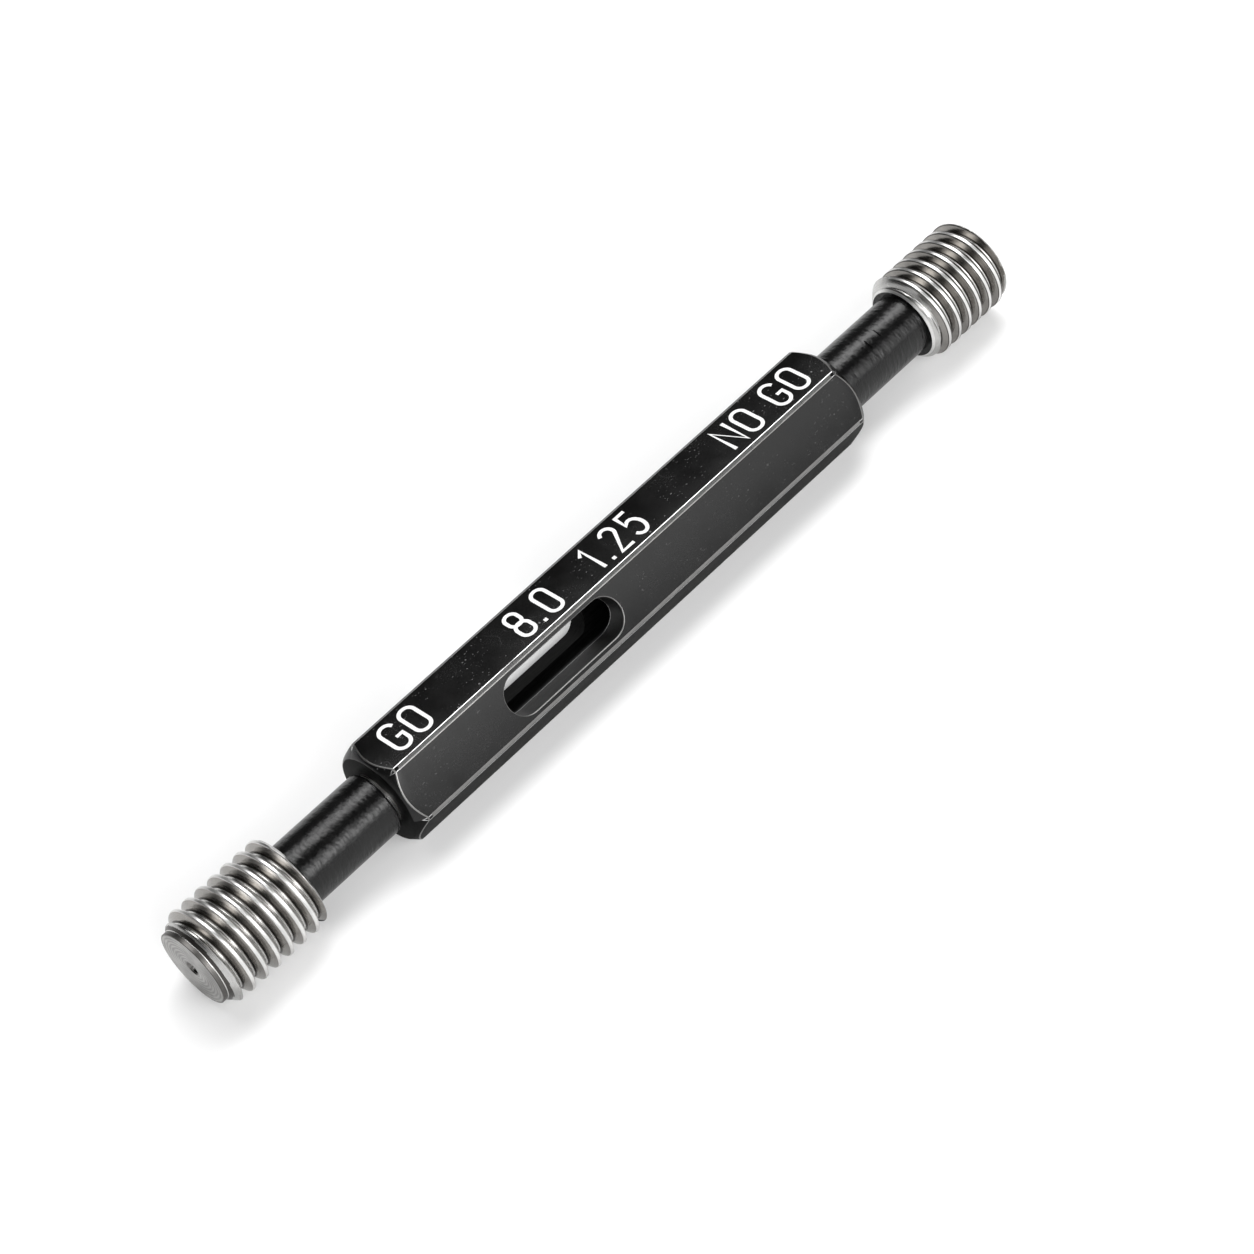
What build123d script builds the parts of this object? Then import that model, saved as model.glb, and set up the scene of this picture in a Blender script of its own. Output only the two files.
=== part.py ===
from build123d import *
import math
import os

# Double-ended thread plug gauge, in millimetres.
# The gauge's axis is X, with the go end at -X and the no-go end at +X.
# One flat of the hexagonal handle faces +Z, and the flat opposite it is the one it lies on.
# The origin is on the axis, at the middle of the gauge's length.

# Thread form, shared by both plugs
pitch = 1.25
flank_angle = 30.0

# Go plug. The crest and root are measured from the pitch line, in the thread's depth.
go_major_diameter = 8.0
go_crest_height = 0.32
go_root_depth = 0.45
go_thread_start_angle = 215.0
go_neck_diameter = 5.32
go_neck_end = 9.1
go_plug_length = 9.5
nose_relief = 0.03
nose_length = 0.4
nose_cone_angle = 45.0
go_back_bevel = 0.2

# No-go plug
no_go_major_diameter = 7.8
no_go_crest_height = 0.21
no_go_root_depth = 0.44
no_go_thread_start_angle = 161.0
no_go_neck_diameter = 5.3
no_go_neck_end = 9.2
no_go_plug_length = 8.6
no_go_end_bevel = 0.25
back_face_diameter = 6.16
back_bevel = 0.27
back_cone_length = 0.65

# Details that both members share
neck_edge_break = 0.1
shank_length = 10.2
centre_hole_diameter = 1.25
centre_hole_cone_angle = 60.0
centre_pilot_diameter = 0.6
centre_pilot_depth = 0.7

# Handle
across_flats = 8.0
handle_length = 49.7
corner_bevel = 0.2
end_land_diameter = 7.6
end_chamfer_angle = 48.0
seat_gap = 0.35

# Taper seats for the members. The bore between them has the diameter of their inner ends.
seat_mouth_diameter = 4.6
seat_taper = 1 / 50
seat_clearance = 0.01
seat_run_out = 0.4

# Drift slot, which goes from the flat beside the marked one to the flat opposite it
slot_length = 11.9
slot_width = 3.4
slot_from_go_end = 10.8
slot_edge_break = 0.1
slot_tilt = 60.0

# Allowances that only the construction uses
ridge_overlap = 0.05
trim_margin = 0.2

go_pitch_diameter = go_major_diameter - 2 * go_crest_height
go_minor_diameter = go_pitch_diameter - 2 * go_root_depth
nose_diameter = go_minor_diameter - 2 * nose_relief
no_go_pitch_diameter = no_go_major_diameter - 2 * no_go_crest_height
no_go_minor_diameter = no_go_pitch_diameter - 2 * no_go_root_depth
go_projection = go_neck_end + go_plug_length
no_go_projection = no_go_neck_end + no_go_plug_length
total_length = go_projection + handle_length + no_go_projection
handle_start = -total_length / 2 + go_projection
handle_end = handle_start + handle_length
flank_slope = math.tan(math.radians(flank_angle))


def turned(points, tapers=()):
    """A solid of revolution about Z, from its outline as pairs of radius and height.

    The straight sides that start at the points numbered in tapers are drawn as curves, because
    the surface that such a side turns into takes fewer facets than a cone.
    """
    sides = []
    for number, start in enumerate(points):
        end = points[(number + 1) % len(points)]
        middle = ((start[0] + end[0]) / 2, (start[1] + end[1]) / 2)
        sides.append(Bezier(start, middle, end) if number in tapers else Line(start, end))
    return revolve(Plane.XZ * make_face(sides), Axis.Z)


def thread_ridge(major_diameter, pitch_diameter, minor_diameter, start_angle, length):
    """A right-hand ridge round Z, longer than the plug by a turn at each end."""
    major = major_diameter / 2
    root = minor_diameter / 2 - ridge_overlap
    half_at_pitch_line = pitch / 4
    half_crest = half_at_pitch_line - (major - pitch_diameter / 2) * flank_slope
    half_root = half_at_pitch_line + (pitch_diameter / 2 - root) * flank_slope
    path = Helix(pitch=pitch, height=length + 2 * pitch, radius=root, center=(0, 0, -pitch))
    axial_plane = Plane(origin=(0, 0, -pitch), x_dir=(1, 0, 0), z_dir=(0, -1, 0))
    outline = Polyline(
        (root, -half_root),
        (major, -half_crest),
        (major, half_crest),
        (root, half_root),
        close=True,
    )
    ridge = sweep(axial_plane * make_face(outline), path=path, is_frenet=True)
    return Rot(0, 0, start_angle) * ridge


def threaded_plug(ridge, minor_diameter, length, envelope):
    """The ridge on its core, trimmed to the turned blank that the thread is cut in."""
    core = Pos(0, 0, length / 2) * Cylinder(minor_diameter / 2, length + 4 * pitch)
    return (core + ridge) & envelope


def centre_hole(height):
    """The centre-drilled hole in an end face at the given height."""
    mouth = centre_hole_diameter / 2
    pilot = centre_pilot_diameter / 2
    cone_depth = (mouth - pilot) / math.tan(math.radians(centre_hole_cone_angle / 2))
    outline = [
        (0, height + mouth),
        (mouth, height + mouth),
        (mouth, height),
        (pilot, height - cone_depth),
        (pilot, height - cone_depth - centre_pilot_depth),
        (0, height - cone_depth - centre_pilot_depth),
    ]
    return turned(outline, tapers=(2,))


def shank_and_neck(neck_diameter, neck_end):
    """The taper shank, the step at the handle's mouth, and the neck up to the plug's back."""
    neck = neck_diameter / 2
    shank_at_mouth = seat_mouth_diameter / 2 - seat_clearance
    outline = [
        (0, -shank_length),
        (shank_at_mouth - shank_length * seat_taper / 2, -shank_length),
        (shank_at_mouth + seat_gap * seat_taper / 2, seat_gap),
        (neck - neck_edge_break, seat_gap),
        (neck, seat_gap + neck_edge_break),
        (neck, neck_end),
        (0, neck_end),
    ]
    return turned(outline, tapers=(1,))


def go_envelope():
    """The go plug's turned form: a nose, a cone that starts the thread, and a bevelled back."""
    major = go_major_diameter / 2
    nose = nose_diameter / 2
    outer = major + trim_margin
    cone_length = (outer - nose) / math.tan(math.radians(nose_cone_angle))
    return turned([
        (0, 0),
        (major - go_back_bevel, 0),
        (outer, go_back_bevel + trim_margin),
        (outer, go_plug_length - nose_length - cone_length),
        (nose, go_plug_length - nose_length),
        (nose, go_plug_length),
        (0, go_plug_length),
    ])


def no_go_envelope():
    """The no-go plug's turned form: a two-step bevel at the back, and a bevelled end."""
    major = no_go_major_diameter / 2
    back = back_face_diameter / 2
    step = back + back_bevel
    cone_slope = back_cone_length / (major - step)
    outer = major + trim_margin
    return turned([
        (0, 0),
        (back, 0),
        (step, back_bevel),
        (outer, back_bevel + (outer - step) * cone_slope),
        (outer, no_go_plug_length - no_go_end_bevel - trim_margin),
        (major - no_go_end_bevel, no_go_plug_length),
        (0, no_go_plug_length),
    ])


def make_go_member():
    ridge = thread_ridge(
        go_major_diameter,
        go_pitch_diameter,
        go_minor_diameter,
        go_thread_start_angle,
        go_plug_length,
    )
    plug = threaded_plug(ridge, go_minor_diameter, go_plug_length, go_envelope())
    member = shank_and_neck(go_neck_diameter, go_neck_end) + Pos(0, 0, go_neck_end) * plug
    member -= centre_hole(go_projection)
    return Plane(origin=(handle_start, 0, 0), x_dir=(0, 1, 0), z_dir=(-1, 0, 0)) * member


def make_no_go_member():
    ridge = thread_ridge(
        no_go_major_diameter,
        no_go_pitch_diameter,
        no_go_minor_diameter,
        no_go_thread_start_angle,
        no_go_plug_length,
    )
    plug = threaded_plug(ridge, no_go_minor_diameter, no_go_plug_length, no_go_envelope())
    member = shank_and_neck(no_go_neck_diameter, no_go_neck_end) + Pos(0, 0, no_go_neck_end) * plug
    member -= centre_hole(no_go_projection)
    return Plane(origin=(handle_end, 0, 0), x_dir=(0, 1, 0), z_dir=(1, 0, 0)) * member


def handle_bar():
    """The hexagonal bar with bevelled corners, its ends turned to a cone and a flat land."""
    hexagon = RegularPolygon(across_flats / 2, 6, major_radius=False)
    section = chamfer(hexagon.vertices(), corner_bevel)
    bar = Pos(0, 0, handle_length / 2) * extrude(section, handle_length / 2, both=True)
    land = end_land_diameter / 2
    outer = across_flats / math.sqrt(3) + trim_margin
    cone = (outer - land) * math.tan(math.radians(end_chamfer_angle))
    turned_ends = turned([
        (0, 0),
        (land, 0),
        (outer, cone),
        (outer, handle_length - cone),
        (land, handle_length),
        (0, handle_length),
    ])
    return bar & turned_ends


def handle_bore():
    """Both taper seats and the plain bore between them, on one axis."""
    mouth = seat_mouth_diameter / 2
    seat_depth = shank_length + seat_run_out
    seat_end = mouth - seat_depth * seat_taper / 2
    outline = [
        (0, 0),
        (mouth, 0),
        (seat_end, seat_depth),
        (seat_end, handle_length - seat_depth),
        (mouth, handle_length),
        (0, handle_length),
    ]
    return turned(outline, tapers=(1, 3))


def drift_slot():
    """The round-ended slot through the handle, with its edges broken at both flats."""
    middle = handle_start + slot_from_go_end + slot_length / 2
    half = across_flats / 2
    normal = Vector(0, -math.sin(math.radians(slot_tilt)), math.cos(math.radians(slot_tilt)))
    slot_plane = Plane(origin=(middle, 0, 0), x_dir=(1, 0, 0), z_dir=normal)
    cut = slot_plane * extrude(SlotOverall(slot_length, slot_width), half + trim_margin, both=True)
    mouth_outline = SlotOverall(slot_length + 2 * slot_edge_break, slot_width + 2 * slot_edge_break)
    for direction in (normal, -normal):
        face = Plane(origin=(middle, 0, 0), x_dir=(1, 0, 0), z_dir=-direction)
        mouth = extrude(mouth_outline, slot_edge_break, taper=45)
        cut += face * Pos(0, 0, -half) * mouth
    return cut


def make_handle():
    along_x = Plane(origin=(handle_start, 0, 0), x_dir=(0, 1, 0), z_dir=(1, 0, 0))
    return along_x * (handle_bar() - handle_bore()) - drift_slot()


os.makedirs("parts", exist_ok=True)
export_step(make_handle(), "parts/handle.step")
export_step(make_go_member(), "parts/go_member.step")
export_step(make_no_go_member(), "parts/no_go_member.step")
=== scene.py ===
import math
import bmesh
import bpy
import numpy as np
from mathutils import Matrix, Vector


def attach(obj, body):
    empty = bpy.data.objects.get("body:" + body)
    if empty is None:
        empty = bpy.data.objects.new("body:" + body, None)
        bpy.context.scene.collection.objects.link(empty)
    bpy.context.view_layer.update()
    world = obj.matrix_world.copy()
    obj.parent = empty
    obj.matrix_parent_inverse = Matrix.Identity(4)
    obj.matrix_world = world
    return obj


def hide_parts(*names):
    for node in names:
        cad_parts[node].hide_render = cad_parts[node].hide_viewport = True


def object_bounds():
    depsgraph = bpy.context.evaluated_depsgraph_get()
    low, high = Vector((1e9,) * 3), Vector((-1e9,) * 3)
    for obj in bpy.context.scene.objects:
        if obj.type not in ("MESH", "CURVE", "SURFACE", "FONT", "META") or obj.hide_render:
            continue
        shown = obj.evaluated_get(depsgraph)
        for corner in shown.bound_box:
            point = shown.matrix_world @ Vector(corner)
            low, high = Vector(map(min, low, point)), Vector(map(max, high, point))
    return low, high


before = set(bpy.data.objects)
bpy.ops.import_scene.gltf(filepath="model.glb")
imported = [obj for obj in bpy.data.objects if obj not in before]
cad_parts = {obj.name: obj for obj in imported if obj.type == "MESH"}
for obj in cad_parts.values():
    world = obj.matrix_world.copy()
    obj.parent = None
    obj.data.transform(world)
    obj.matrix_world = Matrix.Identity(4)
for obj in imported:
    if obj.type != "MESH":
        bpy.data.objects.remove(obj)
cad_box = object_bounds()

MM = 0.001

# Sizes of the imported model, in millimetres. A member's reach is how far out a point of it is from
# the handle's end, and it is negative inside the handle.
half_length = round(cad_box[1][0] / MM, 3)
across_flats = round(2 * cad_box[1][2] / MM, 3)
go_reach = 18.6
no_go_reach = 17.8
handle_start = go_reach - half_length
handle_end = half_length - no_go_reach
corner_bevel = 0.2
land_radius = 3.8
end_chamfer_slope = math.tan(math.radians(48.0))

seat_mouth_radius = 2.3
seat_slope = 0.01
seat_clearance = 0.01
seat_gap = 0.35
shank_length = 10.2
seat_run_out = 0.4
seat_depth = shank_length + seat_run_out
bore_radius = seat_mouth_radius - seat_depth * seat_slope
hole_radius = 0.625
pilot_radius = 0.3

slot_length = 11.9
slot_width = 3.4
slot_from_go_end = 10.8
slot_middle = handle_start + slot_from_go_end + slot_length / 2
slot_tilt = 60.0

go_back = 9.1
nose_start = 18.2
nose_radius = 3.2
no_go_back = 9.2
no_go_back_radius = 3.08
pitch = 1.25
flank_slope = math.tan(math.radians(30.0))

# The angle round the axis at which the middle of one of a thread's crests is at its crest_at
crest_angle = 40.0


# Materials

class Nodes:
    """A new material and short calls that add linked nodes to it."""

    def __init__(self, name):
        self.material = bpy.data.materials.new(name)
        self.material.use_nodes = True
        self.tree = self.material.node_tree
        self.tree.nodes.clear()
        output = self.tree.nodes.new("ShaderNodeOutputMaterial")
        self.shader = self.tree.nodes.new("ShaderNodeBsdfPrincipled")
        self.link(self.shader.outputs[0], output.inputs[0])
        self.place = self.tree.nodes.new("ShaderNodeTexCoord").outputs["Object"]

    def link(self, source, socket):
        """Feeds a socket from another one, or sets it to a number or a colour."""
        if isinstance(source, (int, float, tuple)):
            socket.default_value = source
        else:
            self.tree.links.new(source, socket)

    def set(self, **values):
        """Feeds or sets the shader's sockets, named with _ for each blank."""
        for name, value in values.items():
            self.link(value, self.shader.inputs[name.replace("_", " ")])

    def scaled(self, x, y, z):
        """The place on the piece, scaled along each axis."""
        node = self.tree.nodes.new("ShaderNodeMapping")
        self.link(self.place, node.inputs["Vector"])
        node.inputs["Scale"].default_value = (x, y, z)
        return node.outputs[0]

    def noise(self, vector, scale, detail, rough):
        node = self.tree.nodes.new("ShaderNodeTexNoise")
        self.link(vector, node.inputs["Vector"])
        node.inputs["Scale"].default_value = scale
        node.inputs["Detail"].default_value = detail
        node.inputs["Roughness"].default_value = rough
        return node.outputs["Fac"]

    def math(self, operation, a, b=0.0, c=0.0):
        node = self.tree.nodes.new("ShaderNodeMath")
        node.operation = operation
        for socket, value in zip(node.inputs, (a, b, c)):
            self.link(value, socket)
        return node.outputs[0]

    def fit(self, value, low, high, to_low=0.0, to_high=1.0):
        """Maps one span to another with soft ends."""
        node = self.tree.nodes.new("ShaderNodeMapRange")
        node.interpolation_type = "SMOOTHSTEP"
        for socket, v in zip(node.inputs, (value, low, high, to_low, to_high)):
            self.link(v, socket)
        return node.outputs[0]

    def spread(self, noise, low=0.0, high=1.0):
        """Maps the span in which most of a noise lies to another span."""
        return self.fit(noise, 0.3, 0.7, low, high)

    def blend(self, share, a, b):
        """Mixes two colours."""
        node = self.tree.nodes.new("ShaderNodeMix")
        node.data_type = "RGBA"
        self.link(share, node.inputs[0])
        self.link(a, node.inputs[6])
        self.link(b, node.inputs[7])
        return node.outputs[2]

    def axes(self):
        node = self.tree.nodes.new("ShaderNodeSeparateXYZ")
        self.link(self.place, node.inputs[0])
        return node.outputs[0], node.outputs[1], node.outputs[2]

    def off_axis(self):
        """How far a point is from the X axis."""
        _, y, z = self.axes()
        return self.math("SQRT", self.math("ADD", self.math("MULTIPLY", y, y), self.math("MULTIPLY", z, z)))

    def gap(self, a, b):
        """How far apart two values are."""
        return self.math("ABSOLUTE", self.math("SUBTRACT", a, b))

    def bump(self, height, strength, distance):
        """Bumps the surface, on top of any bump that the shader already has."""
        node = self.tree.nodes.new("ShaderNodeBump")
        for earlier in self.shader.inputs["Normal"].links:
            self.link(earlier.from_socket, node.inputs["Normal"])
        node.inputs["Strength"].default_value = strength
        node.inputs["Distance"].default_value = distance
        self.link(height, node.inputs["Height"])
        self.link(node.outputs[0], self.shader.inputs["Normal"])


def grey(value):
    return (value, value, value, 1.0)


def thin_finish(m, cloud):
    """Where the handle's finish is thin: dots and short flecks in patches, and hairlines."""
    cell = m.tree.nodes.new("ShaderNodeTexVoronoi")
    cell.inputs["Scale"].default_value = 950.0
    m.link(m.place, cell.inputs["Vector"])
    dots = m.fit(cell.outputs["Distance"], 0.10, 0.04)
    flecks = m.fit(m.noise(m.scaled(3000, 6500, 6500), 1.0, 2.0, 0.6), 0.655, 0.70)
    patches = m.fit(m.noise(m.place, 420.0, 2.0, 0.6), 0.48, 0.60)
    specks = m.math("MULTIPLY", m.math("MAXIMUM", dots, flecks), patches)
    hair = m.gap(m.noise(m.place, 330.0, 1.5, 0.5), 0.5)
    hairs = m.math("MULTIPLY", m.fit(hair, 0.0040, 0.0012), m.fit(cloud, 0.52, 0.62, 0.0, 0.18))
    return m.math("MAXIMUM", specks, hairs)


def handle_material():
    """Black oxide on fine-ground bar: satin, with faint grinding lines, specks and rubbed edges."""
    m = Nodes("black_oxide_handle")
    _, y, z = m.axes()
    cloud = m.noise(m.place, 260.0, 3.0, 0.6)
    lines = m.noise(m.scaled(250, 9000, 9000), 1.0, 2.0, 0.6)
    grain = m.noise(m.place, 9000.0, 2.0, 0.5)
    # how far across its flat a point lies, and how near that is to the flat's edges
    turn = m.math("ARCTAN2", z, y)
    fold = m.math("PINGPONG", m.math("ADD", turn, 6 * math.pi - math.pi / 6), math.pi / 6)
    across = m.math("MULTIPLY", m.off_axis(), m.math("SINE", fold))
    edge_line = (across_flats / 2 * math.tan(math.pi / 6) - corner_bevel) * MM
    rubbed = m.fit(m.gap(across, edge_line), 0.036 * MM, 0.012 * MM)
    patchy = m.fit(m.noise(m.scaled(300, 1500, 1500), 1.0, 3.0, 0.7), 0.20, 0.45)
    rub = m.math("MULTIPLY", rubbed, patchy)
    # the marked flat has most of the specks
    specks = m.math("MULTIPLY", thin_finish(m, cloud), m.fit(z, 3.6 * MM, 3.9 * MM, 0.3, 1.0))
    base = m.blend(m.spread(cloud), grey(0.002), grey(0.004))
    base = m.blend(m.math("MULTIPLY", specks, 0.65), base, grey(0.22))
    base = m.blend(rub, base, grey(0.70))
    # the three flats in the lower half are duller
    lower = m.fit(z, 0.10 * MM, -0.10 * MM)
    rough = m.math("ADD", m.spread(cloud, 0.20, 0.26), m.spread(grain, -0.03, 0.03))
    rough = m.math("ADD", rough, m.math("MULTIPLY", lower, 0.30))
    m.set(Base_Color=base, Roughness=rough, Metallic=rub)
    m.set(Specular_IOR_Level=m.fit(lower, 0.0, 1.0, 0.5, 0.12))
    m.shader.inputs["IOR"].default_value = 1.38
    # the flats are very slightly crowned by polishing: their height falls with the square of across
    crown_fall = -9.0
    crown = m.math("MULTIPLY", m.math("MULTIPLY", across, across), crown_fall)
    m.bump(crown, 1.0, 1.0)
    height = m.math("ADD", m.math("MULTIPLY", lines, 0.6), m.math("MULTIPLY", grain, 0.4))
    m.bump(height, 0.12, 0.01 * MM)
    return m.material


def slot_wall_material():
    """The slot's and the bore's walls, blackened but left as they were cut."""
    m = Nodes("slot_wall_black")
    _, y, z = m.axes()
    cuts = m.noise(m.scaled(900, 5000, 5000), 1.0, 3.0, 0.6)
    base = m.blend(m.spread(cuts), grey(0.002), grey(0.008))
    # the walls are rubbed where they meet the bore, and duller towards the slot's far mouth
    off_bore = m.gap(m.off_axis(), (bore_radius + 0.03) * MM)
    tilt = math.radians(slot_tilt)
    height = m.math("MULTIPLY_ADD", y, -math.sin(tilt), m.math("MULTIPLY", z, math.cos(tilt)))
    near = m.fit(height, -0.5 * MM, 1.0 * MM)
    rub = m.math("MULTIPLY", m.fit(off_bore, 0.05 * MM, 0.02 * MM), near)
    m.set(Base_Color=m.blend(rub, base, grey(0.5)), Metallic=rub)
    m.set(Specular_IOR_Level=m.fit(near, 0.0, 1.0, 0.02, 0.5))
    m.shader.inputs["Roughness"].default_value = 0.5
    m.shader.inputs["IOR"].default_value = 1.35
    m.bump(cuts, 0.4, 0.01 * MM)
    return m.material


def dull_black_material():
    """The handle's end lands, where the black finish is duller."""
    m = Nodes("dull_black")
    turning = m.noise(m.scaled(3000, 3000, 3000), 1.0, 2.0, 0.6)
    m.set(Base_Color=m.blend(m.spread(turning), grey(0.003), grey(0.008)))
    m.shader.inputs["Roughness"].default_value = 0.45
    m.shader.inputs["IOR"].default_value = 1.10
    m.bump(turning, 0.3, 0.01 * MM)
    return m.material


def neck_material(node, ticks):
    """Black oxide on a turned neck: smoother than the handle, with rings and slight waves round it.

    The ticks are short scratches across the rings, each at a place along X and between two angles.
    """
    m = Nodes("black_oxide_neck_" + node)
    x, y, z = m.axes()
    rings = m.noise(m.scaled(14000, 300, 300), 1.0, 2.0, 0.6)
    waves = m.noise(m.scaled(2600, 700, 700), 1.0, 3.0, 0.65)
    cloud = m.noise(m.place, 500.0, 3.0, 0.6)
    base = m.blend(m.spread(cloud), grey(0.002), grey(0.005))
    m.set(Base_Color=base, Roughness=m.spread(rings, 0.16, 0.24))
    m.shader.inputs["IOR"].default_value = 1.40
    m.bump(rings, 0.10, 0.01 * MM)
    m.bump(waves, 0.70, 0.12 * MM)
    turn = m.math("ARCTAN2", z, y)
    shine = 0.5
    for place, low, high in ticks:
        middle = math.radians((low + high) / 2)
        half = math.radians((high - low) / 2)
        near = m.fit(m.gap(x, place * MM), 0.08 * MM, 0.04 * MM)
        within = m.fit(m.gap(turn, middle), half, half * 0.7)
        shine = m.math("MULTIPLY_ADD", m.math("MULTIPLY", near, within), -0.5, shine)
    m.set(Specular_IOR_Level=shine)
    return m.material


def steel_material(name, base, rough, strength):
    """Ground steel with fine lines round the axis."""
    m = Nodes(name)
    rings = m.noise(m.scaled(16000, 500, 500), 1.0, 2.0, 0.6)
    cloud = m.noise(m.place, 450.0, 3.0, 0.6)
    darker = tuple(c * 0.82 for c in base) + (1,)
    m.set(Base_Color=m.blend(m.spread(cloud), darker, base + (1,)))
    m.set(Roughness=m.spread(rings, rough * 0.8, rough * 1.25))
    m.shader.inputs["Metallic"].default_value = 1.0
    m.bump(rings, strength, 0.01 * MM)
    return m.material


def end_face_material():
    """The turned end face: rings round the axis, cut by the turning tool."""
    m = Nodes("turned_end_face")
    ring_spacing = 0.30 * MM
    waver = m.math("MULTIPLY", m.noise(m.place, 900.0, 2.0, 0.5), 4.0)
    phase = m.math("MULTIPLY", m.off_axis(), 2 * math.pi / ring_spacing)
    rings = m.math("SINE", m.math("ADD", phase, waver))
    cloud = m.noise(m.place, 600.0, 3.0, 0.6)
    tone = m.math("ADD", m.math("MULTIPLY", rings, 0.40), m.spread(cloud))
    base = m.blend(m.fit(tone, -0.4, 1.4), (0.18, 0.176, 0.172, 1), (0.46, 0.455, 0.445, 1))
    m.set(Base_Color=base, Roughness=m.spread(cloud, 0.32, 0.44))
    m.shader.inputs["Metallic"].default_value = 1.0
    m.bump(rings, 0.8, 0.006 * MM)
    return m.material


def paint_material():
    """White paint in the marks, a little uneven."""
    m = Nodes("white_mark_paint")
    cloud = m.noise(m.place, 6000.0, 3.0, 0.6)
    m.set(Base_Color=m.blend(m.spread(cloud), grey(0.70), grey(0.86)))
    m.shader.inputs["Roughness"].default_value = 0.55
    m.bump(cloud, 0.2, 0.005 * MM)
    return m.material


# Meshes

def new_piece(name, points, faces, materials, face_slots, smooth_angle):
    """A piece from points in metres, with its edges sharp where they turn by more than the angle."""
    mesh = bpy.data.meshes.new(name)
    mesh.from_pydata([tuple(p) for p in points], [], faces)
    for material in materials:
        mesh.materials.append(material)
    mesh.polygons.foreach_set("material_index", face_slots)
    mesh.update()
    piece = bpy.data.objects.new(name, mesh)
    bpy.context.scene.collection.objects.link(piece)
    work = bmesh.new()
    work.from_mesh(mesh)
    bmesh.ops.remove_doubles(work, verts=work.verts, dist=1e-8)
    bmesh.ops.dissolve_degenerate(work, edges=work.edges, dist=1e-8)
    bmesh.ops.recalc_face_normals(work, faces=work.faces)
    work.to_mesh(mesh)
    work.free()
    mesh.shade_smooth()
    mesh.set_sharp_from_angle(angle=math.radians(smooth_angle))
    return piece


# Members. The finishes are numbered in the order of the materials that a member gets.

# The crest's and the root's finishes are painted highlight, and the flank's, the nose's, the hole's and the
# darkest one painted shade, all on the same ground steel.
NECK, CREST, END_FACE, HOLE, SEAT, FLANK, BEVEL, PAINTED_SHADE, ROOT, NOSE = range(10)
around = 200  # points of a ring


def thread_radius(offset, spec):
    """The thread's own radius at an axial offset from a crest's middle, with slightly rounded edges."""
    pitch_line = spec["pitch_diameter"] / 2
    major = spec["major_diameter"] / 2
    root = spec["minor_diameter"] / 2
    total = 0.0
    rounding = (-0.05, -0.03, -0.01, 0.01, 0.03, 0.05)
    for d in rounding:
        s = np.abs((offset + d + pitch / 2) % pitch - pitch / 2)
        total = total + np.clip(pitch_line + (pitch / 4 - s) / flank_slope, root, major)
    return total / len(rounding)


def thread_widths(spec):
    """How far the crest's and the root's edges are from a crest's middle."""
    crest_height = (spec["major_diameter"] - spec["pitch_diameter"]) / 2
    root_depth = (spec["pitch_diameter"] - spec["minor_diameter"]) / 2
    return pitch / 4 - crest_height * flank_slope, pitch / 4 + root_depth * flank_slope


def thread_offsets(spec):
    """Axial offsets of the mesh's lines over one pitch, closest at the crest's and the root's edges."""
    half_crest, half_root = thread_widths(spec)
    near = (-0.06, -0.04, -0.02, 0.0, 0.02, 0.04, 0.06)
    half = [0.0] + [half_crest + d for d in near]
    half += [half_crest + (half_root - half_crest) * t for t in (0.25, 0.5, 0.75)]
    half += [half_root + d for d in near[:4]] + [pitch / 2]
    dark_edges = [edge for line in spec["dark_lines"] for edge in line]
    return sorted(set([-h for h in half[1:-1]] + half + dark_edges))


def strip_finish(offset, spec):
    """The finish of the thread at an axial offset from a crest's middle, which is painted highlight or
    painted shade.
    """
    half_crest, half_root = thread_widths(spec)
    before, after = spec["crest_margins"]
    # painted shade in the dark lines at the crest's edges
    if any(start < offset < end for start, end in spec["dark_lines"]):
        return PAINTED_SHADE
    # painted highlight on the crest, and past its edges by the crest_margins
    if -half_crest - before < offset < half_crest + after:
        return CREST
    # painted highlight on the root
    if abs(offset) > half_root - 0.02:
        return ROOT
    # a strip of painted shade beside the root
    if abs(offset) > half_root - 0.10:
        return PAINTED_SHADE
    # painted shade on the flanks
    return FLANK


def thread_rings(spec, angle):
    """The rings between the thread's ends, and how many of them make a pitch."""
    face, out = spec["face"], spec["out"]
    major = spec["major_diameter"] / 2
    blank_reach, blank_radius = zip(*spec["blank"])
    low, high = sorted((face + out * spec["thread_start"], face + out * spec["thread_end"]))
    starts = spec["crest_at"] + pitch * (angle - math.radians(crest_angle)) / (2 * math.pi)
    offsets = thread_offsets(spec)
    per_pitch = len(offsets)
    # lines for far more turns than the plug has, of which those that reach it are kept, and
    # those of one more pitch at each end, which close the last turns
    lines = [k * pitch + offset for k in range(-14, 15) for offset in offsets]
    lines.sort(reverse=out < 0)
    inside = [n for n, line in enumerate(lines) if np.ptp(np.clip(starts + line, low, high)) > 0]
    rings = []
    for n in range(inside[0] - per_pitch, inside[-1] + per_pitch + 1):
        x = np.clip(starts + lines[n], low, high)
        reach = (x - face) * out
        cut = thread_radius(x - starts, spec)
        blank = np.interp(reach, blank_reach, blank_radius)
        middle = (lines[n] + lines[n - 1]) / 2
        finish = strip_finish((middle + pitch / 2) % pitch - pitch / 2, spec)
        bevelled = (blank < cut + 0.001) & (blank < major - 0.001) | (reach < spec["plain_to"])
        # bevels below the radius shaded_below get painted shade
        bevel_finish = np.where(blank < spec["shaded_below"], PAINTED_SHADE, BEVEL)
        rings.append((x, np.minimum(cut, blank), np.where(bevelled, bevel_finish, finish)))
    return rings, per_pitch


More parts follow.
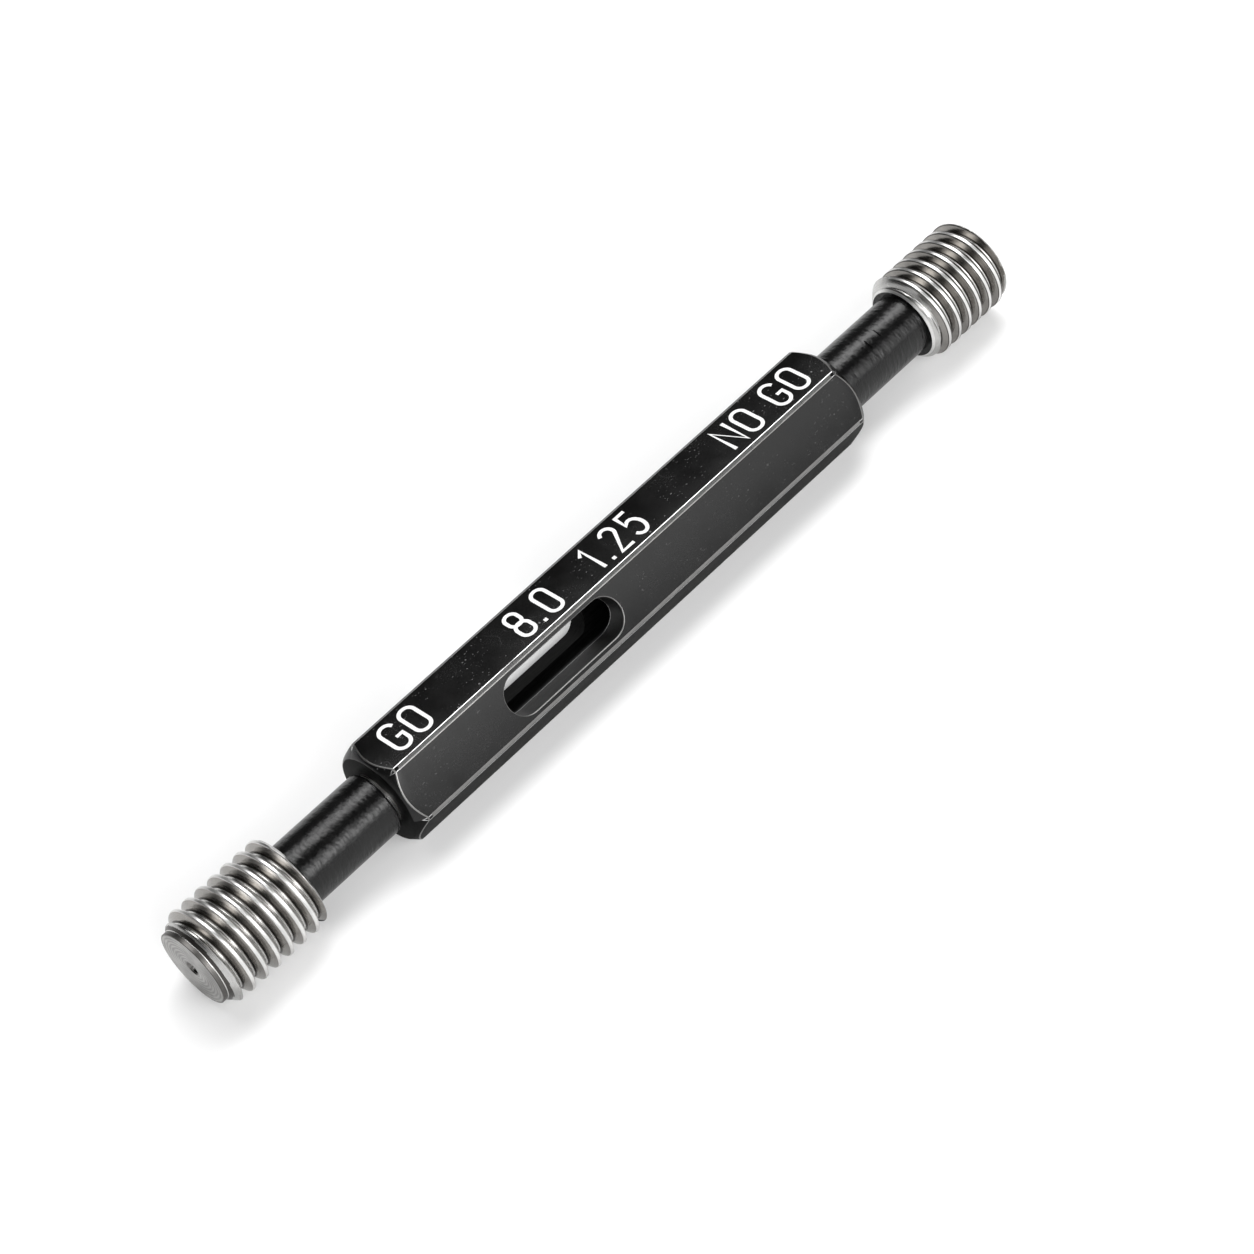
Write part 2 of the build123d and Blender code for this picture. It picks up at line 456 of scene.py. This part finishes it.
def member(name, spec, materials):
    """A member as one closed skin of rings, with the thread's lines following its helix."""
    face, out = spec["face"], spec["out"]
    angle = np.arange(around) * 2 * math.pi / around

    def plain(rings):
        """Rings that are the same all round, from their reaches, radii and finishes."""
        even = [(face + out * reach, radius, finish) for reach, radius, finish in rings]
        return [tuple(np.full(around, value) for value in ring) for ring in even]

    rings = plain(spec["rings"])
    first = len(rings)
    thread, per_pitch = thread_rings(spec, angle)
    rings += thread
    last = len(rings) - 1
    rings += plain(spec["end_rings"])

    def next_turn(i):
        """The ring that carries this one on where a turn ends, as the thread's lines move on by a pitch."""
        return min(max(i + out * per_pitch, first), last) if first <= i <= last else i

    points = []
    for x, radius, _ in rings:
        points += list(zip(x * MM, radius * np.cos(angle) * MM, radius * np.sin(angle) * MM))
    faces, face_slots = [], []
    for i in range(len(rings) - 1):
        for j in range(around):
            k = (j + 1) % around
            near, far = (i, i + 1) if k else (next_turn(i), next_turn(i + 1))
            faces.append((i * around + j, near * around + k, far * around + k, (i + 1) * around + j))
            face_slots.append(int(rings[i + 1][2][j]))
    inner_end = range(around)
    outer_end = range((len(rings) - 1) * around, len(rings) * around)
    faces += [tuple(reversed(inner_end)), tuple(outer_end)]
    face_slots += [int(rings[0][2][0]), int(rings[-1][2][0])]
    return new_piece(name, points, faces, materials, face_slots, 32)


def spaced(low, high, count):
    return [low + (high - low) * i / count for i in range(count + 1)]


def rings_before(neck, neck_end):
    """The rings from the shank's end to the plug's back, each with its reach, radius and finish."""
    shank_at_mouth = seat_mouth_radius - seat_clearance
    # the shank's end, whose edge is finely broken
    rings = [(-shank_length, radius, END_FACE) for radius in (0.3, 1.2, 2.16)]
    shank = spaced(0.01 - shank_length, seat_gap - 0.02, 14)
    rings += [(reach, shank_at_mouth + reach * seat_slope, SEAT) for reach in shank]
    # the step up to the neck, and its broken edge as distances out along X and off the neck
    rings += [(seat_gap, shank_at_mouth + seat_gap * seat_slope, NECK)]
    edge_break = [(0.0, -0.1), (0.01, -0.085), (0.10, -0.005), (0.12, 0.0)]
    rings += [(seat_gap + out, neck + off, NECK) for out, off in edge_break]
    rings += [(reach, neck, NECK) for reach in spaced(seat_gap + 0.25, neck_end - 0.05, 30)]
    return rings + [(neck_end, neck + 0.01, NECK)]


def rings_after(end, rim):
    """The rings from the end face's rim into the centre-drilled hole."""
    # painted shade on the end face's rim
    rings = [(end, rim, PAINTED_SHADE), (end, rim - 0.06, PAINTED_SHADE)]
    rings += [(end, radius, END_FACE) for radius in spaced(rim - 0.08, hole_radius + 0.035, 4)]
    rings += [(end - 0.01, hole_radius, END_FACE)]
    # the hole's cone and pilot, as depths and radii, in painted shade
    cone = [(0.03, 0.605), (0.3, 0.455), (0.55, 0.31)]
    pilot = [(0.57, pilot_radius), (1.2, pilot_radius), (1.25, pilot_radius - 0.02)]
    return rings + [(end - depth, radius, HOLE) for depth, radius in cone + pilot]


# Each plug's form and finish. The thread_start and thread_end are reaches, and crest_at is a place
# along X. The blank is the turned form that the thread is cut in, as reaches and radii. Its bevels
# have painted shade below the radius shaded_below, and all of it has a bevel's finish up to the reach
# plain_to. The crest_margins say how far the crest's painted highlight goes on at its two sides, and
# the dark_lines are spans of offset from its middle that get painted shade.
go_spec = {
    "face": handle_start,
    "out": -1,
    "thread_start": go_back,
    "thread_end": nose_start - 0.03,
    "crest_at": 1.635 - half_length,
    "major_diameter": 8.0,
    "pitch_diameter": 7.36,
    "minor_diameter": 6.46,
    "blank": [(go_back, 3.8), (go_back + 0.2, 4.0), (nose_start - 0.8, 4.0), (nose_start, nose_radius)],
    "shaded_below": 3.42,
    "plain_to": 0.0,
    "crest_margins": (0.03, 0.20),
    "dark_lines": (),
    "rings": rings_before(2.66, go_back) + [(go_back, 3.8, NECK)],
    "end_rings": [
        # a line of painted highlight where the thread meets the nose
        (nose_start, nose_radius + 0.005, ROOT),
        (nose_start + 0.03, nose_radius, ROOT),
        # the nose in painted shade
        (nose_start + 0.20, nose_radius, NOSE),
        (nose_start + 0.37, nose_radius, NOSE),
        # painted shade on the nose's edge
        (nose_start + 0.395, nose_radius - 0.025, PAINTED_SHADE),
    ] + rings_after(go_reach, nose_radius - 0.04),
}
no_go_spec = {
    "face": handle_end,
    "out": 1,
    "thread_start": no_go_back + 0.17,
    "thread_end": no_go_reach,
    "crest_at": half_length - 7.77,
    "major_diameter": 7.8,
    "pitch_diameter": 7.38,
    "minor_diameter": 6.5,
    "blank": [
        (no_go_back, no_go_back_radius),
        (no_go_back + 0.27, no_go_back_radius + 0.27),
        (no_go_back + 0.92, 3.9),
        (no_go_reach - 0.25, 3.9),
        (no_go_reach, 3.65),
    ],
    "shaded_below": 0.0,
    "plain_to": 10.0,
    "crest_margins": (0.0, 0.02),
    "dark_lines": ((-0.24, -0.191), (0.05, 0.20)),
    "rings": rings_before(2.65, no_go_back) + [
        (no_go_back, no_go_back_radius, NECK),
        # the back bevel has the crest's painted highlight
        (no_go_back + 0.17, no_go_back_radius + 0.17, CREST),
    ],
    "end_rings": rings_after(no_go_reach, 3.2),
}

# the same ground steel as the flanks, made lighter: painted highlight on the crests
crest_painted_highlight_steel = steel_material("crest_painted_highlight_steel", (0.80, 0.795, 0.785), 0.34, 0.02)
# the same ground steel, made darker: painted shade on the flanks
flank_painted_shade_steel = steel_material("flank_painted_shade_steel", (0.34, 0.327, 0.31), 0.20, 0.02)
# the same ground steel, made much darker: painted shade in lines, strips and rims
darkest_painted_shade_steel = steel_material("darkest_painted_shade_steel", (0.09, 0.085, 0.08), 0.30, 0.05)
# the same ground steel, made lighter: painted highlight on the roots
root_painted_highlight_steel = steel_material("root_painted_highlight_steel", (0.72, 0.715, 0.70), 0.26, 0.02)
# the same ground steel, made darker: painted shade on the nose
nose_painted_shade_steel = steel_material("nose_painted_shade_steel", (0.13, 0.125, 0.12), 0.42, 0.05)
bevel_steel = steel_material("bevel_steel", (0.58, 0.575, 0.565), 0.24, 0.04)
seat_steel = steel_material("seat_steel", (0.55, 0.545, 0.53), 0.25, 0.10)
# the same ground steel, made darker: painted shade in the centre hole
painted_shade_in_hole = steel_material("centre_hole_painted_shade", (0.20, 0.196, 0.19), 0.25, 0.10)
end_face = end_face_material()
no_go_ticks = ((29.45, 105.0, 127.0), (30.75, 102.0, 122.0))

for node, spec, ticks in (("go_member", go_spec, ()), ("no_go_member", no_go_spec, no_go_ticks)):
    member_materials = [
        neck_material(node, ticks), crest_painted_highlight_steel, end_face, painted_shade_in_hole, seat_steel,
        flank_painted_shade_steel, bevel_steel, darkest_painted_shade_steel, root_painted_highlight_steel, nose_painted_shade_steel,
    ]
    piece = member(node + "_ground", spec, member_materials)
    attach(piece, "root")
    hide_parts(node)


# Handle: the hexagonal bar with finely rounded corners, and the slot cut through it. The finishes
# are numbered in the order of the materials that the handle gets.

OXIDE, WALL, RUBBED, LAND = range(4)
corner_rounding = 0.08
slot_rounding = 0.11
flat_normals = [
    Vector((0, math.cos(math.radians(a)), math.sin(math.radians(a)))) for a in (30, 90, 150)
]
slot_normal = flat_normals[2]


def bar_section():
    """The bar's section as pairs of radius and angle, in order round the axis."""
    half = across_flats / 2
    radius = corner_rounding / math.tan(math.radians(15))
    corner = half * math.tan(math.radians(30)) - corner_bevel
    bevel = half * math.cos(math.radians(30)) + corner * math.sin(math.radians(30))
    side = ((bevel - radius) - (half - radius) * math.cos(math.radians(30))) / math.sin(math.radians(30))
    arcs = [math.radians(a) for a in np.linspace(0, 30, 8)]
    one_flat = [(half - radius + radius * math.cos(a), -side - radius * math.sin(a)) for a in reversed(arcs)]
    one_flat += [(half, side * t) for t in np.linspace(-0.97, 0.97, 21)]
    one_flat += [(half - radius + radius * math.cos(a), side + radius * math.sin(a)) for a in arcs]
    points = []
    for k in range(6):
        for u, v in one_flat:
            points.append((math.hypot(u, v), math.atan2(v, u) + math.radians(90 + 60 * k)))
    return points


def bar_mesh(section):
    """The bar with its turned ends and its bore, as one closed skin of rings along the axis."""
    count = len(section)
    break_width = 0.05
    past_cone = 1.2

    def end(face, out):
        """Rings from the seat's mouth over the land and the cone to the flats."""
        rings = [[(face, seat_mouth_radius)] * count, [(face, land_radius - break_width)] * count]
        rings.append([(face - out * break_width * 0.7, land_radius + break_width * 0.6)] * count)
        cone, edge, flat = [], [], []
        for radius, angle in section:
            reach = (radius - land_radius) * end_chamfer_slope
            back = min(break_width, (radius - land_radius) * 0.3)
            cone.append((face - out * (reach - back * end_chamfer_slope), radius - back))
            edge.append((face - out * (reach + back * 0.25), radius - back * 0.22))
            flat.append((face - out * (reach + back * 1.4), radius))
        return rings + [cone, edge, flat, [(face - out * past_cone, radius) for radius, angle in section]]

    rings = end(handle_start, -1)
    rings += list(reversed(end(handle_end, 1)))
    for x in (handle_end - seat_depth, handle_start + seat_depth):
        rings.append([(x, bore_radius)] * count)
    points, faces = [], []
    for ring in rings:
        for (x, radius), (_, angle) in zip(ring, section):
            points.append((x * MM, radius * math.cos(angle) * MM, radius * math.sin(angle) * MM))
    for i in range(len(rings)):
        n = (i + 1) % len(rings)
        for j in range(count):
            k = (j + 1) % count
            faces.append((i * count + j, i * count + k, n * count + k, n * count + j))
    end_finishes = [LAND, OXIDE, OXIDE, RUBBED, RUBBED, OXIDE]
    finishes = end_finishes + [OXIDE] + end_finishes[::-1] + [WALL] * 3
    return points, faces, [finish for finish in finishes for j in range(count)]


def slot_cutter():
    """What the slot takes away: a round-ended prism whose mouths flare to a rounded edge."""
    half = across_flats / 2
    margin = 0.4
    levels = [(half + margin, slot_rounding)]
    for a in np.linspace(0, 90, 7):
        a = math.radians(a)
        depth = half - slot_rounding + slot_rounding * math.cos(a)
        levels.append((depth, slot_rounding - slot_rounding * math.sin(a)))
    levels += [(-depth, extra) for depth, extra in reversed(levels)]
    straight = (slot_length - slot_width) / 2
    tilt = math.radians(slot_tilt)
    points, faces = [], []
    for depth, extra in levels:
        radius = slot_width / 2 + extra
        for side in (1, -1):
            for a in np.linspace(-90, 90, 33):
                a = math.radians(a)
                along = side * (straight + radius * math.cos(a))
                across = side * radius * math.sin(a)
                y = -math.sin(tilt) * depth + math.cos(tilt) * across
                z = math.cos(tilt) * depth + math.sin(tilt) * across
                points.append(((slot_middle + along) * MM, y * MM, z * MM))
    count = len(points) // len(levels)
    for i in range(len(levels) - 1):
        for j in range(count):
            k = (j + 1) % count
            faces.append((i * count + j, i * count + k, (i + 1) * count + k, (i + 1) * count + j))
    faces.append(tuple(range(count)))
    faces.append(tuple(reversed(range(len(points) - count, len(points)))))
    return points, faces


def slotted_handle(materials):
    """The bar with the slot cut through it, and the cut's faces given their finishes."""
    points, faces, finishes = bar_mesh(bar_section())
    piece = new_piece("handle_ground", points, faces, materials, finishes, 40)
    points, faces = slot_cutter()
    cutter = new_piece("slot_cutter", points, faces, materials, [WALL] * len(faces), 40)
    cut = piece.modifiers.new("slot", "BOOLEAN")
    cut.operation = "DIFFERENCE"
    cut.solver = "EXACT"
    cut.object = cutter
    bpy.context.view_layer.update()
    shaped = bpy.data.meshes.new_from_object(piece.evaluated_get(bpy.context.evaluated_depsgraph_get()))
    piece.modifiers.clear()
    piece.data = shaped
    bpy.data.objects.remove(cutter)
    # the slot's walls, and the rounded edges of its mouths
    half = across_flats / 2
    past_ends = 1.5
    for face in shaped.polygons:
        middle = face.center / MM
        depth = max(abs(middle.dot(normal)) for normal in flat_normals)
        if not handle_start + past_ends < middle.x < handle_end - past_ends:
            continue
        if depth < half - slot_rounding:
            face.material_index = WALL
        elif depth < half - 0.002 and face.normal.dot(slot_normal) ** 2 > 0.02:
            face.material_index = RUBBED if abs(middle.dot(slot_normal)) == depth else OXIDE
    shaped.shade_smooth()
    shaped.set_sharp_from_angle(angle=math.radians(28))
    weighted = piece.modifiers.new("flats keep their normals", "WEIGHTED_NORMAL")
    weighted.keep_sharp = True
    return piece


rubbed_steel = steel_material("rubbed_edge_steel", (0.24, 0.237, 0.233), 0.34, 0.10)
handle = slotted_handle([handle_material(), slot_wall_material(), rubbed_steel, dull_black_material()])
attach(handle, "root")
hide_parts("handle")


# Marks on the flat that faces up: the two plugs' names, and the thread's size and pitch as plain numbers

mark_height = 2.9
half_stroke = 0.155
letter_gap = 0.25
above_flat = 0.006
above_stroke = 0.004


def arc(cx, cy, rx, ry, start, stop, steps=18):
    return [
        (cx + rx * math.cos(math.radians(a)), cy + ry * math.sin(math.radians(a)))
        for a in np.linspace(start, stop, steps)
    ]


def round_box(x0, x1, y0, y1, r):
    """A closed outline with round corners."""
    points = arc(x1 - r, y1 - r, r, r, 0, 90, 8) + arc(x0 + r, y1 - r, r, r, 90, 180, 8)
    points += arc(x0 + r, y0 + r, r, r, 180, 270, 8) + arc(x1 - r, y0 + r, r, r, 270, 360, 8)
    return points + points[:1]


# Each letter's width and strokes, as shares of its height
glyphs = {
    "G": (0.46, [arc(0.23, 0.77, 0.23, 0.23, 15, 180, 14) + arc(0.23, 0.23, 0.23, 0.23, 180, 360, 14)
                 + [(0.46, 0.46), (0.25, 0.46)]]),
    "O": (0.46, [round_box(0, 0.46, 0, 1, 0.22)]),
    "N": (0.46, [[(0, 0), (0, 1), (0.46, 0), (0.46, 1)]]),
    "8": (0.42, [round_box(0.02, 0.40, 0.51, 1, 0.18), round_box(0, 0.42, 0, 0.55, 0.20)]),
    "0": (0.42, [round_box(0, 0.42, 0, 1, 0.20)]),
    "1": (0.22, [[(0, 0.80), (0.17, 1), (0.17, 0)]]),
    "2": (0.42, [arc(0.21, 0.78, 0.20, 0.22, 165, -25, 14) + [(0, 0), (0.42, 0)]]),
    "5": (0.42, [[(0.38, 1), (0.05, 1), (0.03, 0.56)] + arc(0.20, 0.33, 0.22, 0.33, 110, -150, 16)]),
    ".": (0.08, [[(0.04, -0.02), (0.04, 0.09)]]),
    " ": (0.18, []),
}


def ribbon(line):
    """The two sides of a stroke of even width along a line of points."""
    closed = line[0] == line[-1]
    pts = [Vector(p) for p in (line[:-1] if closed else line)]
    count = len(pts)
    left, right = [], []
    for i, p in enumerate(pts):
        before = (p - pts[i - 1]).normalized() if closed or i > 0 else None
        after = (pts[(i + 1) % count] - p).normalized() if closed or i < count - 1 else None
        a = after if before is None else before
        b = before if after is None else after
        side_a, side_b = Vector((-a.y, a.x)), Vector((-b.y, b.x))
        side = (side_a + side_b).normalized()
        # corners are mitred, and sharp ones are cut short
        side *= min(1.0 / max(side.dot(side_b), 0.35), 1.25) * half_stroke
        left.append(p + side)
        right.append(p - side)
    if closed:
        left.append(left[0])
        right.append(right[0])
    return left, right


def mark(name, text, start, paint):
    """Flat letters from a start along X, with each further stroke of a letter a little higher."""
    points, faces = [], []
    x = start
    for letter in text:
        width, lines = glyphs[letter]
        for above, line in enumerate(lines):
            level = across_flats / 2 + above_flat + above * above_stroke
            left, right = ribbon([(px * mark_height, (py - 0.5) * mark_height) for px, py in line])
            for i in range(len(left) - 1):
                n = len(points)
                for p in (left[i], left[i + 1], right[i + 1], right[i]):
                    points.append(((x + p[0]) * MM, p[1] * MM, level * MM))
                faces.append((n + 3, n + 2, n + 1, n))
        x += (width + letter_gap) * mark_height
    piece = new_piece(name, points, faces, [paint], [0] * len(faces), 30)
    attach(piece, "root")


paint = paint_material()
mark("mark_go", "GO", -22.1, paint)
mark("mark_size", "8.0", -9.0, paint)
mark("mark_pitch", "1.25", -1.0, paint)
mark("mark_no_go", "NO GO", 14.1, paint)


# Floor, on which the gauge lies

floor_mesh = bpy.data.meshes.new("floor")
span = 3.0
level = -across_flats / 2 * MM
floor_mesh.from_pydata(
    [(-span, -span, level), (span, -span, level), (span, span, level), (-span, span, level)],
    [],
    [(0, 1, 2, 3)],
)
floor = bpy.data.objects.new("floor", floor_mesh)
bpy.context.scene.collection.objects.link(floor)
floor_nodes = Nodes("floor_white")
path = floor_nodes.tree.nodes.new("ShaderNodeLightPath").outputs
shown = floor_nodes.math("MULTIPLY", path["Is Camera Ray"], 0.20)
mirrored = floor_nodes.math("ADD", path["Is Glossy Ray"], path["Is Transmission Ray"])
mirrored = floor_nodes.math("MULTIPLY", mirrored, 0.06)
floor_nodes.set(Emission_Strength=floor_nodes.math("ADD", shown, mirrored))
floor_nodes.shader.inputs["Emission Color"].default_value = grey(1.0)
floor_nodes.shader.inputs["Base Color"].default_value = grey(0.72)
floor_nodes.shader.inputs["Roughness"].default_value = 0.9
floor_nodes.shader.inputs["Specular IOR Level"].default_value = 0.0
floor_mesh.materials.append(floor_nodes.material)


# Lights: soft boxes overhead and in front, each brighter in its middle, one at the left, and a
# soft key from behind. Their sizes are in metres.

box_distance = 0.58


def soft_box(name, along, lean, width, height, radiance):
    """A box at a place along X that leans towards the front from straight above."""
    light = bpy.data.lights.new(name, "AREA")
    light.shape = "RECTANGLE"
    light.size = width
    light.size_y = height
    light.energy = radiance * math.pi * width * height
    box = bpy.data.objects.new(name, light)
    bpy.context.scene.collection.objects.link(box)
    lean = math.radians(lean)
    box.location = (along, -box_distance * math.sin(lean), box_distance * math.cos(lean))
    box.rotation_euler = (lean, 0, 0)


soft_box("overhead_box_edge", 0.24, -12, 0.80, 0.42, 2.4)
soft_box("overhead_box_middle", 0.38, -11, 0.58, 0.20, 4.2)
soft_box("front_box_edge", 0.10, 60, 0.80, 0.45, 1.7)
soft_box("front_box_middle", -0.03, 62, 0.50, 0.20, 5.0)
soft_box("left_box", -0.50, 35, 0.60, 0.40, 2.0)

key = bpy.data.lights.new("key_from_behind", "SUN")
key.energy = 0.6
key.angle = math.radians(50)
key_object = bpy.data.objects.new("key_from_behind", key)
bpy.context.scene.collection.objects.link(key_object)
key_object.rotation_mode = "QUATERNION"
key_object.rotation_quaternion = Vector((-0.35, -0.52, -0.78)).to_track_quat("-Z", "Y")
key_object.visible_glossy = False


# World: white to the camera, and a pale horizon under a dim sky to everything else

horizon_strength = 0.85
sky_strength = 0.04
horizon_top = 0.10
sky_bottom = 0.30
world = bpy.data.worlds.new("studio")
bpy.context.scene.world = world
world.use_nodes = True
tree = world.node_tree
tree.nodes.clear()
output = tree.nodes.new("ShaderNodeOutputWorld")
background = tree.nodes.new("ShaderNodeBackground")
tree.links.new(background.outputs[0], output.inputs[0])
direction = tree.nodes.new("ShaderNodeTexCoord").outputs["Generated"]
split = tree.nodes.new("ShaderNodeSeparateXYZ")
tree.links.new(direction, split.inputs[0])
fall = tree.nodes.new("ShaderNodeMapRange")
fall.interpolation_type = "SMOOTHSTEP"
for socket, value in zip(fall.inputs, (0.0, horizon_top, sky_bottom, horizon_strength, sky_strength)):
    socket.default_value = value
tree.links.new(split.outputs[2], fall.inputs[0])
seen = tree.nodes.new("ShaderNodeLightPath").outputs["Is Camera Ray"]
pick = tree.nodes.new("ShaderNodeMix")
pick.inputs[3].default_value = 1.0
tree.links.new(seen, pick.inputs[0])
tree.links.new(fall.outputs[0], pick.inputs[2])
tree.links.new(pick.outputs[0], background.inputs["Strength"])
background.inputs["Color"].default_value = (1, 1, 1, 1)


# Camera, from a fit to the photo's edges. Its place is in millimetres.

camera_place = Vector((-98.19, -146.12, 174.13))
camera_right = Vector((0.67730, -0.70705, -0.20331))
camera_down = Vector((-0.62155, -0.40208, -0.67231))
camera_data = bpy.data.cameras.new("camera")
camera_data.sensor_width = 36.0
camera_data.lens = 94.14
camera_data.clip_start = 0.01
camera_data.clip_end = 20.0
camera = bpy.data.objects.new("camera", camera_data)
bpy.context.scene.collection.objects.link(camera)
camera_forward = camera_right.cross(camera_down)
turn = Matrix((camera_right, -camera_down, -camera_forward)).transposed().to_4x4()
camera.matrix_world = Matrix.Translation(camera_place * MM) @ turn
bpy.context.scene.camera = camera
bpy.context.scene.view_settings.view_transform = "Standard"
